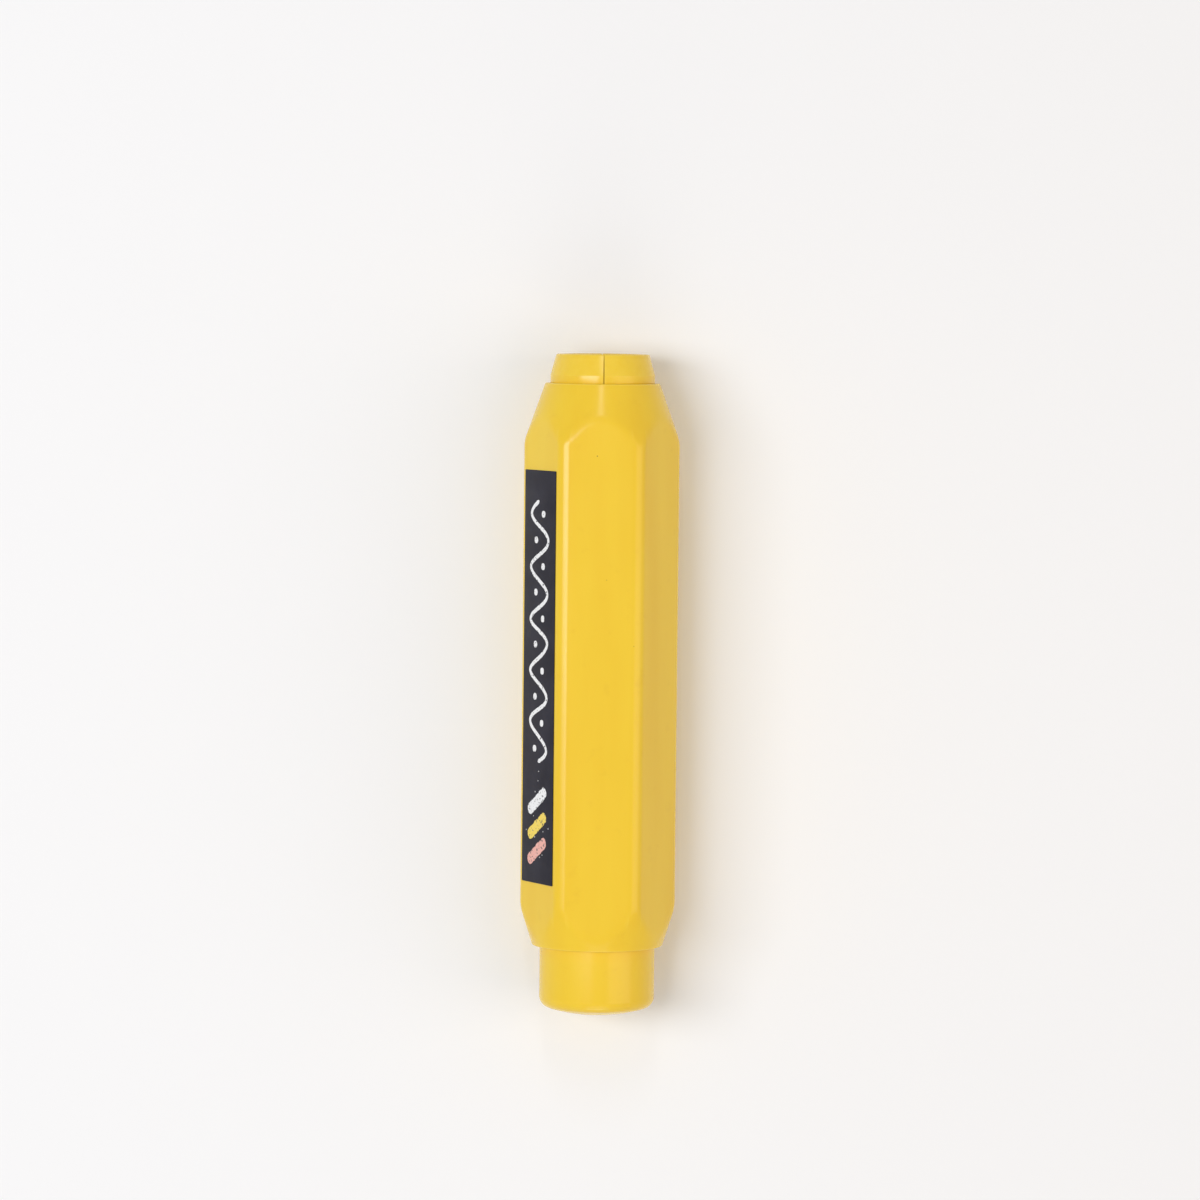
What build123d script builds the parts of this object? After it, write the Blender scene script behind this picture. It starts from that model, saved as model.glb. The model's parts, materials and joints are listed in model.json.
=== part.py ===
from build123d import *
import math
import os

# Push-button chalk holder: a six-sided barrel that lies on its magnet strip, with the jaws towards +Y.
# Every piece is drawn upright about the Z axis and laid down at the end.
# A station is a distance along that axis, counted from the barrel's tail rim towards the jaws.
# Lengths are in millimetres and angles in degrees.

# The stick of chalk and the grip on it
chalk_diameter = 10.0
chalk_play = 0.8
grip_bite = 0.3

# Push tube
tube_wall = 1.1

# Collet: four jaws on flexing leaves, and the sleeve that carries them
jaw_length = 25.4
leaf_wall = 0.9
jaw_swing_room = 0.6
slit_width = 0.12
slit_turn = 1.5
collet_projection = 4.3
collet_land = 1.2
tip_taper_angle = 15.5
tip_round = 0.3
lead_in = 1.0
grip_length = 8.8
groove_pitch = 1.4
groove_width = 0.6
groove_depth = 0.35
sleeve_length = 6.0
lap_length = 8.0
spigot_wall = 0.5
bead_height = 0.2
bead_setback = 3.0

# Return spring
spring_wire = 1.0
spring_play = 0.25
active_turns = 9
end_turns = 1
end_pitch = 1.5
shoulder_margin = 0.5

# Push button
button_projection = 8.9
button_inside = 16.0
button_step = 0.55
button_floor = 1.9
button_chamfer = 0.2
button_round = 1.7
dome_rise = 1.5
stroke = 7.0

# Barrel
barrel_length = 83.4
barrel_wall = 1.55
edge_radius = 2.2
tail_rim_wall = 1.0
nose_rim_wall = 0.6
tail_taper_angle = 17.5
nose_taper_angle = 19.5
taper_blend = 0.5
rim_round = 0.25
seat_length = 4.6
seat_angle = 12.0

# Magnet strip on the back facet, and the tape that holds it
magnet_width = 8.0
magnet_thickness = 1.5
magnet_from_tail = 25.0
magnet_from_nose = 14.4
magnet_proud = 0.3
magnet_round = 0.6
tape_thickness = 0.15
tape_margin = 0.3
pocket_play = 0.2

# Label on the facet beside the front one
label_from_tail = 9.6
label_from_nose = 12.8
label_margin = 0.05
label_thickness = 0.12

# Clearances
running_gap = 0.15
seat_gap = 0.15
fit_gap = 0.03
stop_gap = 0.05

SIDES = 6
JAWS = 4
QUARTERS = 4
HALF_FACET = math.pi / SIDES
MATCH = 1e-4

# Radii, worked out from the chalk outwards
bore_radius = (chalk_diameter + chalk_play) / 2
grip_radius = chalk_diameter / 2 - grip_bite
tube_radius = bore_radius + tube_wall
spigot_radius = bore_radius + spigot_wall
spring_radius = tube_radius + spring_play + spring_wire / 2
main_bore_radius = spring_radius + spring_wire / 2 + spring_play
button_radius = main_bore_radius + button_step
tail_bore_radius = button_radius + running_gap
flat_radius = tail_bore_radius + barrel_wall
corner_radius = flat_radius / math.cos(HALF_FACET)
facet_width = 2 * (flat_radius - edge_radius) * math.tan(HALF_FACET)
tail_rim_radius = tail_bore_radius + tail_rim_wall
leaf_radius = bore_radius + leaf_wall
guide_radius = leaf_radius + jaw_swing_room
sleeve_radius = guide_radius - running_gap
seat_slope = math.tan(math.radians(seat_angle))
mouth_radius = guide_radius + seat_length * seat_slope
nose_rim_radius = mouth_radius + nose_rim_wall
land_radius = mouth_radius - seat_gap
tip_taper_slope = math.tan(math.radians(tip_taper_angle))
tip_radius = land_radius - (collet_projection - collet_land) * tip_taper_slope

# Stations along the axis
tip_station = barrel_length + collet_projection
root_station = tip_station - jaw_length
sleeve_station = root_station - sleeve_length
spigot_station = sleeve_station - lap_length
shoulder_station = sleeve_station - shoulder_margin
stop_station = button_inside + stroke + stop_gap
floor_station = button_floor - button_projection
end_station = -button_projection - dome_rise

# The whole part, laid down: its middle and the height of its axis above the surface
middle_station = (tip_station + end_station) / 2
axis_height = flat_radius + magnet_proud


def lathe(*outline):
    """Turns a closed outline of (radius, station) points about the long axis."""
    points = [(radius, 0, station) for radius, station in outline]
    return revolve(make_face(Polyline(*points, close=True)), Axis.Z)


def round_rim(solid, radius, station, rounding):
    """Rounds the circular edge of that radius at that station."""
    def on_rim(edge):
        same_radius = math.isclose(edge.radius, radius, abs_tol=MATCH)
        same_station = math.isclose(edge.arc_center.Z, station, abs_tol=MATCH)
        return same_radius and same_station

    rims = [edge for edge in solid.edges().filter_by(GeomType.CIRCLE) if on_rim(edge)]
    return fillet(rims, rounding)


def make_barrel():
    """Six-sided shell with a conical nose and tail, a stepped bore and the magnet's pocket."""
    tail_taper = (corner_radius - tail_rim_radius) / math.tan(math.radians(tail_taper_angle))
    nose_taper = (corner_radius - nose_rim_radius) / math.tan(math.radians(nose_taper_angle))
    hexagon = RegularPolygon(flat_radius, SIDES, major_radius=False)
    hexagon = fillet(hexagon.vertices(), edge_radius)
    prism = extrude(hexagon, barrel_length)
    cones = lathe(
        (0, 0),
        (tail_rim_radius, 0),
        (corner_radius, tail_taper),
        (corner_radius, barrel_length - nose_taper),
        (nose_rim_radius, barrel_length),
        (0, barrel_length),
    )
    barrel = prism & cones
    blends = [
        edge
        for edge in barrel.edges()
        if edge.geom_type not in (GeomType.CIRCLE, GeomType.LINE)
    ]
    barrel = fillet(blends, taper_blend)
    barrel = round_rim(barrel, tail_rim_radius, 0, rim_round)
    barrel = round_rim(barrel, nose_rim_radius, barrel_length, rim_round)
    barrel -= lathe(
        (0, 0),
        (tail_bore_radius, 0),
        (tail_bore_radius, stop_station),
        (main_bore_radius, stop_station),
        (main_bore_radius, shoulder_station),
        (guide_radius, shoulder_station),
        (guide_radius, barrel_length - seat_length),
        (mouth_radius, barrel_length),
        (0, barrel_length),
    )
    return barrel - magnet_layer(flat_radius, pocket_depth, pocket_play)


def magnet_layer(outer, thickness, growth):
    """Round-cornered slab under the back facet, from the distance outer inwards, grown all round."""
    length = barrel_length - magnet_from_tail - magnet_from_nose + 2 * growth
    width = magnet_width + 2 * growth
    centre = (barrel_length + magnet_from_tail - magnet_from_nose) / 2
    face = Plane(origin=(0, outer, centre), x_dir=(1, 0, 0), z_dir=(0, -1, 0))
    outline = face * RectangleRounded(width, length, magnet_round + growth)
    return extrude(outline, thickness)


pocket_depth = magnet_thickness + tape_thickness - magnet_proud


def make_magnet_strip():
    """Flexible magnet strip that stands a little proud of the back facet."""
    return magnet_layer(flat_radius + magnet_proud, magnet_thickness, 0)


def make_magnet_tape():
    """Double-sided tape between the strip and the floor of its pocket."""
    outer = flat_radius + magnet_proud - magnet_thickness
    return magnet_layer(outer, tape_thickness, -tape_margin)


def make_label():
    """Thin printed film on the flat of the facet to the left of the front one."""
    length = barrel_length - label_from_tail - label_from_nose
    centre = (barrel_length + label_from_tail - label_from_nose) / 2
    outward = Vector(-math.cos(HALF_FACET), -math.sin(HALF_FACET), 0)
    facet = Plane(origin=outward * flat_radius + Vector(0, 0, centre), x_dir=(0, 0, 1), z_dir=outward)
    film = Rectangle(length, facet_width - 2 * label_margin)
    return extrude(facet * film, label_thickness)


def make_push_button():
    """Domed cup that slides in the tail bore and holds the push tube in its socket."""
    socket_radius = tube_radius + fit_gap
    rim = (button_radius, 0, -button_projection)
    apex = (0, 0, end_station)
    dome_sphere = (button_radius**2 + dome_rise**2) / (2 * dome_rise)
    half_angle = math.asin(button_radius / dome_sphere) / 2
    shoulder = (
        dome_sphere * math.sin(half_angle),
        0,
        end_station + dome_sphere * (1 - math.cos(half_angle)),
    )
    walls = Polyline(
        apex,
        (0, 0, floor_station),
        (socket_radius, 0, floor_station),
        (socket_radius, 0, button_inside),
        (button_radius - button_chamfer, 0, button_inside),
        (button_radius, 0, button_inside - button_chamfer),
        rim,
    )
    dome = ThreePointArc(rim, shoulder, apex)
    button = revolve(make_face(walls + dome), Axis.Z)
    return round_rim(button, button_radius, -button_projection, button_round)


def make_push_tube():
    """Chalk tube between the button and the collet, with a lapped front end and a groove for the bead."""
    lap_radius = spigot_radius + fit_gap
    bead = spigot_station + bead_setback
    reach = bead_height + fit_gap
    return lathe(
        (bore_radius, floor_station),
        (tube_radius, floor_station),
        (tube_radius, sleeve_station),
        (lap_radius, sleeve_station),
        (lap_radius, bead + reach),
        (lap_radius + bead_height, bead),
        (lap_radius, bead - reach),
        (lap_radius, spigot_station - fit_gap),
        (bore_radius, spigot_station - fit_gap),
    )


def make_collet_sleeve():
    """Guide land with a spigot behind it, whose bead snaps into the push tube."""
    bead = spigot_station + bead_setback
    return lathe(
        (bore_radius, spigot_station),
        (spigot_radius, spigot_station),
        (spigot_radius, bead - bead_height),
        (spigot_radius + bead_height, bead),
        (spigot_radius, bead + bead_height),
        (spigot_radius, sleeve_station),
        (sleeve_radius, sleeve_station),
        (sleeve_radius, root_station),
        (bore_radius, root_station),
    )


def grip_outline():
    """Bore of the gripping length, from the lead-in backwards, with a groove between each pair of teeth."""
    start = tip_station - lead_in
    count = int((grip_length - groove_width) / groove_pitch)
    first = start - (grip_length - (count - 1) * groove_pitch - groove_width) / 2
    points = [(grip_radius, start)]
    for number in range(count):
        top = first - number * groove_pitch
        points += [
            (grip_radius, top),
            (grip_radius + groove_depth, top),
            (grip_radius + groove_depth, top - groove_width),
            (grip_radius, top - groove_width),
        ]
    ramp = bore_radius - grip_radius
    end = start - grip_length
    return points + [(grip_radius, end), (bore_radius, end - ramp)]


def make_collet_jaws():
    """The four jaws, in order round the axis: one turned ring parted by two crossing slits."""
    cone_start = barrel_length - (land_radius - leaf_radius) / seat_slope
    ring = lathe(
        (bore_radius, root_station),
        (leaf_radius, root_station),
        (leaf_radius, cone_start),
        (land_radius, barrel_length),
        (land_radius, barrel_length + collet_land),
        (tip_radius, tip_station),
        (grip_radius + lead_in, tip_station),
        *grip_outline(),
    )
    ring = round_rim(ring, tip_radius, tip_station, tip_round)
    ring = round_rim(ring, land_radius, barrel_length + collet_land, tip_round)
    reach = 3 * land_radius
    middle = (root_station + tip_station) / 2
    slit = Pos(0, 0, middle) * Box(slit_width, reach, 2 * jaw_length)
    crossing = slit_turn + 360 / JAWS
    parted = ring - Rot(0, 0, slit_turn) * slit - Rot(0, 0, crossing) * slit
    return sorted(parted.solids(), key=lambda jaw: math.atan2(jaw.center().Y, jaw.center().X))


def spring_station(quarter, rises):
    """Height of the wire's centre above the spring's seat after that many quarter turns."""
    return spring_wire / 2 + fit_gap + sum(rises[:quarter])


def spring_arcs():
    """The wire's centre line: two arcs to each quarter turn, tangent all the way."""
    length = shoulder_station - button_inside - spring_wire - 2 * fit_gap
    active_pitch = (length - 2 * end_turns * end_pitch) / active_turns
    end_rises = [end_pitch / QUARTERS] * (end_turns * QUARTERS)
    rises = end_rises + [active_pitch / QUARTERS] * (active_turns * QUARTERS) + end_rises
    turn = 2 * math.pi / QUARTERS
    points, tangents = [], []
    for quarter in range(len(rises) + 1):
        angle = quarter * turn
        near = rises[max(quarter - 1, 0) : quarter + 1]
        station = button_inside + spring_station(quarter, rises)
        points.append(Vector(spring_radius * math.cos(angle), spring_radius * math.sin(angle), station))
        along = spring_radius * turn
        lift = sum(near) / len(near)
        tangents.append(Vector(-along * math.sin(angle), along * math.cos(angle), lift).normalized())
    arcs = []
    for start, end, leaving, arriving in zip(points, points[1:], tangents, tangents[1:]):
        arcs += biarc(start, end, leaving, arriving)
    return arcs


def biarc(start, end, leaving, arriving):
    """Two arcs from start to end that leave and arrive along the given unit tangents."""
    chord = end - start
    both = leaving + arriving
    bend = 2 * (1 - leaving.dot(arriving))
    along = chord.dot(both)
    reach = (math.sqrt(along**2 + bend * chord.dot(chord)) - along) / bend
    first = start + leaving * reach
    second = end - arriving * reach
    joint = (first + second) * 0.5
    return [
        Edge.make_tangent_arc(start, leaving, joint),
        Edge.make_tangent_arc(joint, second - first, end),
    ]


def least_gap(arcs):
    """Smallest gap between neighbouring turns of the wire, measured on points along it."""
    samples = [arc.position_at(share) for arc in arcs for share in (0.0, 0.5)]
    half_turn = 2 * QUARTERS
    gaps = [
        (far - near).length - spring_wire
        for index, near in enumerate(samples)
        for far in samples[index + half_turn :]
    ]
    return min(gaps)


def make_return_spring():
    """Compression spring round the push tube, from the button's front to the barrel's shoulder."""
    arcs = spring_arcs()
    print(f"return_spring: least gap between turns {least_gap(arcs):.2f} mm")
    path = Wire(arcs)
    section = Plane(origin=path @ 0, z_dir=path % 0) * Circle(spring_wire / 2)
    return sweep(section, path)


def lay_down(piece):
    """Lays an upright piece along +Y with the front facet up and the magnet on the surface."""
    return Pos(0, -middle_station, axis_height) * Rot(-90, 0, 0) * piece


def make_all():
    """All the pieces by node name, upright."""
    pieces = {
        "barrel": make_barrel(),
        "magnet_strip": make_magnet_strip(),
        "magnet_tape": make_magnet_tape(),
        "label_film": make_label(),
        "push_button": make_push_button(),
        "push_tube": make_push_tube(),
        "collet_sleeve": make_collet_sleeve(),
        "return_spring": make_return_spring(),
    }
    for number, jaw in enumerate(make_collet_jaws(), start=1):
        pieces[f"collet_jaw_{number}"] = jaw
    return pieces


os.makedirs("parts", exist_ok=True)
for node, piece in make_all().items():
    export_step(lay_down(piece), f"parts/{node}.step")
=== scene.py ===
"""Looks of the push-button chalk holder: its meshes, finishes, studio and camera.

Lengths are in metres. A station is a distance along the holder's long axis, counted from the
barrel's tail rim towards the jaws. An angle goes round that axis, from +X towards +Z.
"""

import json
import logging
import math
from dataclasses import dataclass, field
from enum import Enum
from typing import Sequence

import bmesh
import bpy
from mathutils import Matrix, Vector, noise


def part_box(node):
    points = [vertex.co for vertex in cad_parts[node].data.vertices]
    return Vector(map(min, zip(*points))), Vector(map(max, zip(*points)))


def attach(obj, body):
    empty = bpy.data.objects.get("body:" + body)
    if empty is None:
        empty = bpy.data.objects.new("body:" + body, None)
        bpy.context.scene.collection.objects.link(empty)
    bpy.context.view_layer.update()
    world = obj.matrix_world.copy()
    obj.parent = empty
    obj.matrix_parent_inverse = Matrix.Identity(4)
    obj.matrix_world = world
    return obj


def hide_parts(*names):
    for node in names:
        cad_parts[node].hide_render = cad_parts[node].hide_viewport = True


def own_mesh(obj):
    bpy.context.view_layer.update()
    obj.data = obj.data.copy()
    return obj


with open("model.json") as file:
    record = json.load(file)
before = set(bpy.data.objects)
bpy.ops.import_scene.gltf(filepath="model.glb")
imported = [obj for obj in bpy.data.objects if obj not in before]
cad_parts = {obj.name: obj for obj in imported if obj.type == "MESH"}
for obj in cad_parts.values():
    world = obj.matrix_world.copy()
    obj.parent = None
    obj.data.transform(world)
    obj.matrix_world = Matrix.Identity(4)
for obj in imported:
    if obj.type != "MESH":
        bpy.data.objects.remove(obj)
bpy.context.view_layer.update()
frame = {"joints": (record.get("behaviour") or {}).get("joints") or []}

MM = 0.001
TAU = 2 * math.pi
QUARTER = math.pi / 2
LOG = logging.getLogger("chalk_holder")

Pair = tuple[float, float]
Triple = tuple[float, float, float]
Colour = Triple
Traits = tuple[tuple[str, float | Triple], ...]
Ring = list[Vector]
Piece = bpy.types.Object
Material = bpy.types.Material
Socket = bpy.types.NodeSocket

# Levels between which a noise swings, apart from rare peaks.
NOISE_SWING: Pair = (0.3, 0.7)


class Slot(Enum):
    """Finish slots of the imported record."""

    PLASTIC = "yellow_plastic"
    STEEL = "spring_steel"
    MAGNET = "magnet_rubber"
    TAPE = "foam_tape"
    LABEL = "label_film"


class Body(Enum):
    """Moving groups that are named by one word; the jaws are numbered."""

    BARREL = "barrel"
    PLUNGER = "plunger"


def spread(start: float, run: float, steps: int, closed: bool = False) -> list[float]:
    """Values at equal steps over a run; a closed run has its end among them."""
    return [start + run * step / steps for step in range(steps + closed)]


def smooth(value: float) -> float:
    """Holds a value between 0 and 1, and eases it in and out there."""
    share = min(max(value, 0.0), 1.0)
    return share * share * (3 - 2 * share)


def hang(name: str, data: bpy.types.ID) -> Piece:
    """Puts a mesh, a lamp or a lens into the scene.

    Args:
        name: the new object's name.
        data: what the object carries.

    Returns:
        The new object.
    """
    piece = bpy.data.objects.new(name, data)
    bpy.context.scene.collection.objects.link(piece)
    return piece


@dataclass(frozen=True)
class Datum:
    """The long axis and the barrel's tail rim, as the frame has them."""

    tail: float
    axis_height: float

    @classmethod
    def from_frame(cls) -> "Datum":
        """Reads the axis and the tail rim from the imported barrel."""
        low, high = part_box("barrel")
        return cls(tail=low.y, axis_height=(low.z + high.z) / 2)

    def point(self, radius: float, angle: float, station: float) -> Vector:
        """Places a point given round the axis.

        Args:
            radius: distance from the long axis.
            angle: angle round the axis, in radians.
            station: distance from the tail rim.

        Returns:
            The point in the shared frame.
        """
        x = radius * math.cos(angle)
        z = self.axis_height + radius * math.sin(angle)
        return Vector((x, self.tail + station, z))

    def ends(self, node: str) -> Pair:
        """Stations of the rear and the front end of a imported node."""
        low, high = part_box(node)
        return low.y - self.tail, high.y - self.tail


@dataclass(frozen=True)
class Fits:
    """Radii and stations at which one piece meets another."""

    chalk_bore: float = 5.4 * MM
    spigot: float = 5.9 * MM
    tube: float = 6.5 * MM
    sleeve: float = 6.75 * MM
    guide_bore: float = 6.9 * MM
    main_bore: float = 8.0 * MM
    button: float = 8.55 * MM
    tail_bore: float = 8.7 * MM
    seat_length: float = 4.6 * MM
    seat_angle: float = math.radians(12)
    seat_gap: float = 0.15 * MM
    stop_station: float = 23.05 * MM
    shoulder_station: float = 55.8 * MM
    fit_gap: float = 0.03 * MM

    @property
    def mouth(self) -> float:
        """Radius of the open end of the collet's seat."""
        return self.guide_bore + self.seat_length * math.tan(self.seat_angle)


@dataclass(frozen=True)
class Corner:
    """One corner of a turned outline, with the radius that rounds it."""

    radius: float
    station: float
    rounding: float = 0.0

    @property
    def place(self) -> Vector:
        """The corner as a point of the outline's plane."""
        return Vector((self.radius, self.station))


class Outline:
    """A closed outline of corners, as (radius, station) points with its corners rounded."""

    ARC_STEPS = 6

    def __init__(self, *corners: Corner) -> None:
        """Keeps the corners in order round the outline."""
        self.corners = corners

    def points(self) -> list[Pair]:
        """Rounds the corners.

        Returns:
            The outline's points, with arcs at the rounded corners.
        """
        found: list[Pair] = []
        count = len(self.corners)
        for index, corner in enumerate(self.corners):
            after = self.corners[(index + 1) % count]
            found += self.rounded(self.corners[index - 1], corner, after)
        return found

    def rounded(self, before: Corner, corner: Corner, after: Corner) -> list[Pair]:
        """Points that stand for one corner.

        Args:
            before: the corner ahead of it.
            corner: the corner itself.
            after: the corner that follows.

        Returns:
            The corner itself, or the points of the arc that rounds it.
        """
        here = corner.place
        if corner.rounding <= 0:
            return [(here.x, here.y)]
        back = (before.place - here).normalized()
        onward = (after.place - here).normalized()
        half = back.angle(onward) / 2
        setback = corner.rounding / math.tan(half)
        centre = here + (back + onward).normalized() * corner.rounding / math.sin(half)
        start = here + back * setback - centre
        end = here + onward * setback - centre
        points = []
        for turn in spread(0.0, -start.angle_signed(end), self.ARC_STEPS, closed=True):
            spoke = start.copy()
            spoke.rotate(Matrix.Rotation(turn, 2))
            points.append((centre.x + spoke.x, centre.y + spoke.y))
        return points


class MeshBench:
    """Makes mesh objects from rings of points, and works on them."""

    MERGE = 1e-8
    SHARP = math.radians(33)
    BEND = "outward_bend"
    TURNED_SIDES = 128
    CORNER_STEPS = 8
    EDGE_STEPS = 4
    BEVEL_STEPS = 2
    MANY_SIDED = 5
    QUADRANTS = ((1, 1), (-1, 1), (-1, -1), (1, -1))

    @classmethod
    def from_rings(
        cls, name: str, rings: Sequence[Ring], closed: bool = True, caps: bool = False
    ) -> Piece:
        """Skins rings of equal length, each of which is closed.

        Args:
            name: the new object's name.
            rings: the rings in order.
            closed: whether the last ring joins the first.
            caps: whether the first and last rings are filled.

        Returns:
            The new object, smooth with its hard edges kept.
        """
        width = len(rings[0])
        rows = len(rings)
        faces = []
        for row in range(rows if closed else rows - 1):
            near = row * width
            far = (row + 1) % rows * width
            for column in range(width):
                right = (column + 1) % width
                faces.append((near + column, near + right, far + right, far + column))
        if caps:
            faces.append(tuple(range(width)))
            faces.append(tuple(range((rows - 1) * width, rows * width)))
        mesh = bpy.data.meshes.new(name)
        mesh.from_pydata([point for ring in rings for point in ring], [], faces)
        return cls.finished(name, mesh)

    @classmethod
    def finished(cls, name: str, mesh: bpy.types.Mesh) -> Piece:
        """Welds a mesh, turns its faces outwards, smooths it and puts it into the scene.

        Args:
            name: the new object's name.
            mesh: the mesh to tidy.

        Returns:
            The new object.
        """
        work = bmesh.new()
        work.from_mesh(mesh)
        bmesh.ops.remove_doubles(work, verts=work.verts, dist=cls.MERGE)
        bmesh.ops.dissolve_degenerate(work, edges=work.edges, dist=cls.MERGE)
        bmesh.ops.recalc_face_normals(work, faces=work.faces)
        work.to_mesh(mesh)
        work.free()
        cls.shade(mesh)
        return hang(name, mesh)

    @classmethod
    def shade(cls, mesh: bpy.types.Mesh) -> None:
        """Smooths a mesh and keeps its hard edges."""
        mesh.shade_smooth()
        mesh.set_sharp_from_angle(angle=cls.SHARP)

    @classmethod
    def turned(cls, name: str, datum: Datum, outline: Outline) -> Piece:
        """Turns a closed outline about the long axis.

        Args:
            name: the new object's name.
            datum: the axis.
            outline: the outline to turn.

        Returns:
            The turned object.
        """
        angles = spread(0.0, TAU, cls.TURNED_SIDES)
        rings = []
        for radius, station in outline.points():
            rings.append([datum.point(radius, angle, station) for angle in angles])
        return cls.from_rings(name, rings)

    @classmethod
    def slab(cls, name: str, size: Vector, corner: float, edge: float) -> Piece:
        """Flat slab with round corners and softened upper edges, on the XY plane about the origin.

        Args:
            name: the new object's name.
            size: width, length and thickness.
            corner: radius of the corners seen from above.
            edge: radius of the edges round the upper face.

        Returns:
            The slab, which stands on z = 0.
        """
        levels = [(0.0, 0.0)]
        for lift in spread(0.0, QUARTER, cls.EDGE_STEPS, closed=True):
            levels.append((edge * (1 - math.cos(lift)), size.z - edge * (1 - math.sin(lift))))
        rings = []
        for inset, height in levels:
            reach = corner - inset
            ring = []
            for quadrant, (side_x, side_y) in enumerate(cls.QUADRANTS):
                middle = Vector((side_x * (size.x / 2 - corner), side_y * (size.y / 2 - corner)))
                for share in spread(0.0, 1.0, cls.CORNER_STEPS, closed=True):
                    angle = QUARTER * (quadrant + share)
                    x = middle.x + reach * math.cos(angle)
                    y = middle.y + reach * math.sin(angle)
                    ring.append(Vector((x, y, height)))
            rings.append(ring)
        return cls.from_rings(name, rings, closed=False, caps=True)

    @classmethod
    def bevel(cls, piece: Piece, width: float) -> None:
        """Softens a piece's hard edges, and splits the many-sided faces that are left.

        Args:
            piece: the object to bevel.
            width: width of the bevel.
        """
        soft = piece.modifiers.new("soft_edges", "BEVEL")
        soft.width = width
        soft.segments = cls.BEVEL_STEPS
        soft.limit_method = "ANGLE"
        soft.angle_limit = cls.SHARP
        soft.harden_normals = True
        even = piece.modifiers.new("even_faces", "TRIANGULATE")
        even.ngon_method = "BEAUTY"
        even.min_vertices = cls.MANY_SIDED
        even.keep_custom_normals = True

    @classmethod
    def note_edges(cls, mesh: bpy.types.Mesh) -> None:
        """Notes on each point how sharply the surface bends outwards there.

        Args:
            mesh: the mesh to mark; each value is one over the radius of the bend.
        """
        work = bmesh.new()
        work.from_mesh(mesh)
        note = work.verts.layers.float.new(cls.BEND)
        for edge in work.edges:
            if len(edge.link_faces) == 2:
                width = min(face.calc_area() for face in edge.link_faces) / edge.calc_length()
                bend = edge.calc_face_angle_signed() / width
                for vert in edge.verts:
                    vert[note] = max(vert[note], bend)
        work.to_mesh(mesh)
        work.free()

    @classmethod
    def cut(cls, piece: Piece, cutter: Piece) -> None:
        """Takes the cutter out of a piece, and removes the cutter.

        Args:
            piece: the object that is cut.
            cutter: the closed object to take away.
        """
        modifier = piece.modifiers.new("pocket", "BOOLEAN")
        modifier.operation = "DIFFERENCE"
        modifier.solver = "EXACT"
        modifier.object = cutter
        shaped = piece.evaluated_get(bpy.context.evaluated_depsgraph_get())
        mesh = bpy.data.meshes.new_from_object(shaped)
        piece.modifiers.remove(modifier)
        piece.data = mesh
        cls.shade(mesh)
        bpy.data.objects.remove(cutter)


class NodeGraph:
    """A node tree, and a short way to add to it."""

    def __init__(self, tree: bpy.types.NodeTree) -> None:
        """Takes over a tree and empties it."""
        self.tree = tree
        tree.nodes.clear()

    def add(self, kind: str, sockets: dict[str | int, object], **settings: str) -> bpy.types.Node:
        """Adds one node.

        Args:
            kind: the node's type, without the words that all types start with.
            sockets: what each input takes, either a socket to link or a plain value.
            **settings: settings of the node itself, which are made first.

        Returns:
            The new node.
        """
        node = self.tree.nodes.new(f"ShaderNode{kind}")
        for name, value in settings.items():
            setattr(node, name, value)
        for key, value in sockets.items():
            if isinstance(value, Socket):
                self.tree.links.new(value, node.inputs[key])
            else:
                node.inputs[key].default_value = value
        return node


@dataclass(frozen=True)
class Mottle:
    """A noise over a surface, and the two levels between which it is read.

    Attributes:
        scale: features per metre.
        detail: octaves.
        levels: what counts as none of it and as all of it.
        stretch: scale along each axis, for features that aren't round.
    """

    scale: float
    detail: float
    levels: Pair = (0.0, 1.0)
    stretch: Triple | None = None


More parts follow.
